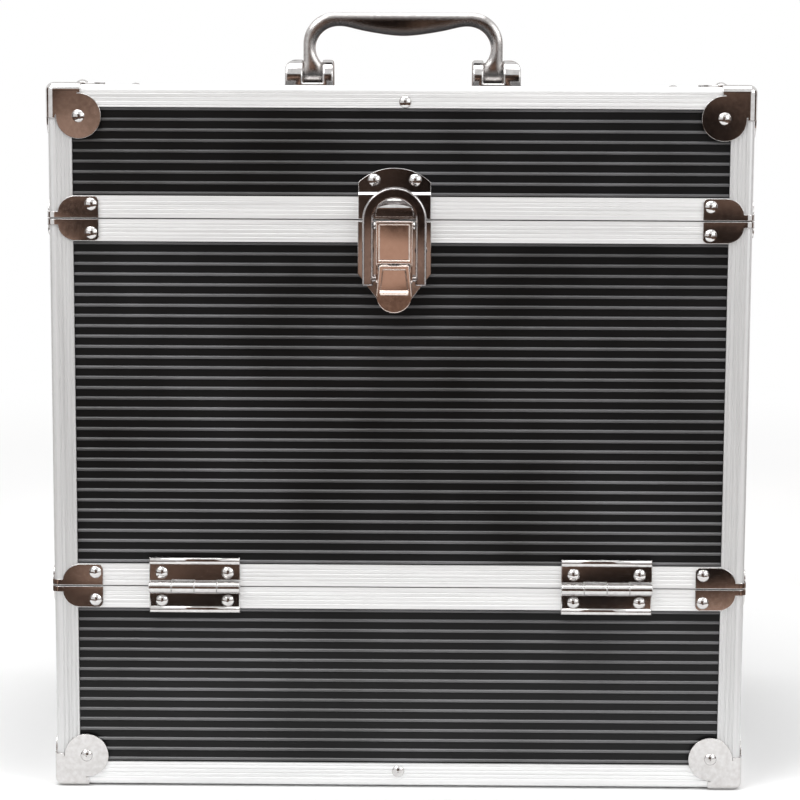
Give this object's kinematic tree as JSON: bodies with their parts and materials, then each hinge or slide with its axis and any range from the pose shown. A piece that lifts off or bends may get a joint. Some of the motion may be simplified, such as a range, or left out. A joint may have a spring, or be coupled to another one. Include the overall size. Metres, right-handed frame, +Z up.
{
  "type": "record carrying case",
  "caption": "Aluminium-edged carrying case for twelve inch records, with ribbed black panels, hinged lid, fold-down front flap, draw latch and folding handle",
  "frame": {"origin": "Centre of the case's footprint, hardware included, on the surface it stands on", "axes": "+Z up, the front with the latch and flap faces -Y, +X to the viewer's right from the front"},
  "size_m": [0.3548, 0.2668, 0.397],
  "materials": {
    "aluminium": "satin anodised",
    "ribbed_panel": "satin ribbed",
    "base_board": "black laminate",
    "chrome": "bright",
    "steel": "bright",
    "foam_lining": "closed-cell foam"
  },
  "bodies": {
    "case_body": {"base_panel": "base_board", "body_front_panel": "ribbed_panel", "body_back_panel": "ribbed_panel", "body_left_panel": "ribbed_panel", "body_right_panel": "ribbed_panel", "body_front_posts": "aluminium", "body_rear_posts": "aluminium", "base_cross_rails": "aluminium", "base_side_rails": "aluminium", "body_front_rim": "aluminium", "body_back_rim": "aluminium", "body_side_rims": "aluminium", "opening_posts": "aluminium", "base_corners": "chrome", "body_braces": "chrome", "front_hinge_body_leaves": "chrome", "rear_hinge_body_leaves": "chrome", "body_rivets": "chrome", "base_rivets": "chrome", "front_hinge_pins": "steel", "rear_hinge_pins": "steel", "base_lining": "foam_lining", "body_front_lining": "foam_lining", "body_back_lining": "foam_lining", "body_left_lining": "foam_lining", "body_right_lining": "foam_lining"},
    "front_flap": {"flap_panel": "ribbed_panel", "flap_posts": "aluminium", "flap_rims": "aluminium", "flap_braces": "chrome", "front_hinge_flap_leaves": "chrome", "latch_base": "chrome", "flap_rivets": "chrome", "flap_lining": "foam_lining", "latch_lever_pin": "steel"},
    "lid": {"lid_top_panel": "ribbed_panel", "lid_front_panel": "ribbed_panel", "lid_back_panel": "ribbed_panel", "lid_left_panel": "ribbed_panel", "lid_right_panel": "ribbed_panel", "lid_corner_posts": "aluminium", "lid_cross_rails": "aluminium", "lid_side_rails": "aluminium", "lid_cross_rims": "aluminium", "lid_side_rims": "aluminium", "lid_corners": "chrome", "lid_braces": "chrome", "rear_hinge_lid_leaves": "chrome", "latch_keeper": "chrome", "lid_rivets": "chrome", "lid_top_lining": "foam_lining", "lid_wall_linings": "foam_lining", "handle_brackets": "chrome", "handle_pins": "steel"},
    "carry_handle": {"handle": "chrome"},
    "lever": {"latch_lever": "chrome", "catch_pin": "steel", "catch_spring": "steel"},
    "bail": {"latch_bail": "chrome"},
    "catch": {"catch_tab": "chrome"}
  },
  "joints": [
    {"name": "lid_hinge", "type": "hinge", "parent": "case_body", "child": "lid", "pos_m": [0, 0.1304, 0.291], "axis": [-1, 0, 0], "range_deg": [0, 110]},
    {"name": "flap_hinge", "type": "hinge", "parent": "case_body", "child": "front_flap", "pos_m": [0, -0.1256, 0.105], "axis": [1, 0, 0], "range_deg": [0, 110]},
    {"name": "handle_pivot", "type": "hinge", "parent": "lid", "child": "carry_handle", "pos_m": [0, 0.0024, 0.3647], "axis": [1, 0, 0], "range_deg": [-90, 90]},
    {"name": "lever_pivot", "type": "hinge", "parent": "front_flap", "child": "lever", "pos_m": [-0.003, -0.129, 0.2884], "axis": [-1, 0, 0], "range_deg": [0, 140]},
    {"name": "bail_pivot", "type": "hinge", "parent": "lever", "child": "bail", "pos_m": [-0.003, -0.1287, 0.262], "axis": [-1, 0, 0], "range_deg": [-140, 0]},
    {"name": "catch_pivot", "type": "hinge", "parent": "lever", "child": "catch", "pos_m": [-0.003, -0.1295, 0.2674], "axis": [-1, 0, 0], "range_deg": [0, 14], "stiffness_Nm_per_rad": 0.02}
  ],
  "couplings": [
    {"joint": "bail_pivot", "follows": "lever_pivot", "ratio": -1}
  ]
}
